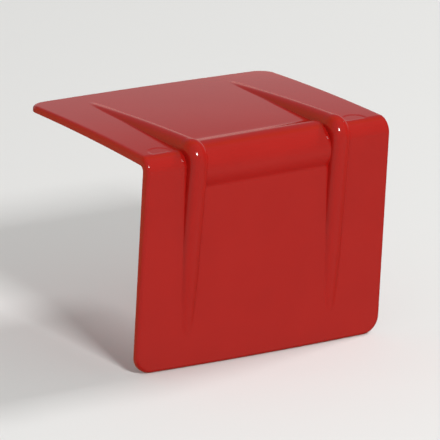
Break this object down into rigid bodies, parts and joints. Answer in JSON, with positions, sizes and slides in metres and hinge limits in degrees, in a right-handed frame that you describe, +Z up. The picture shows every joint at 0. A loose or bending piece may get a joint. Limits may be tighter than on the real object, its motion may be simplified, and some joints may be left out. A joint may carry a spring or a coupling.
{
  "type": "strapping corner protector",
  "caption": "Red moulded plastic L-shaped guard that sits on a carton's edge, with tapered round-crested ribs that guide a strap over a bulged roll along the bend.",
  "frame": {"origin": "on the carton's edge line, midway along the guard", "axes": "+X along the carton's edge, +Y back over the carton's top, +Z up; the front flange hangs down the carton's front, in -Z"},
  "size_m": [0.0636, 0.053, 0.053],
  "materials": {
    "red_plastic": "opaque red moulded plastic, half-gloss and slightly scuffed"
  },
  "bodies": {
    "root": {"corner_guard": "red_plastic"}
  },
  "joints": []
}
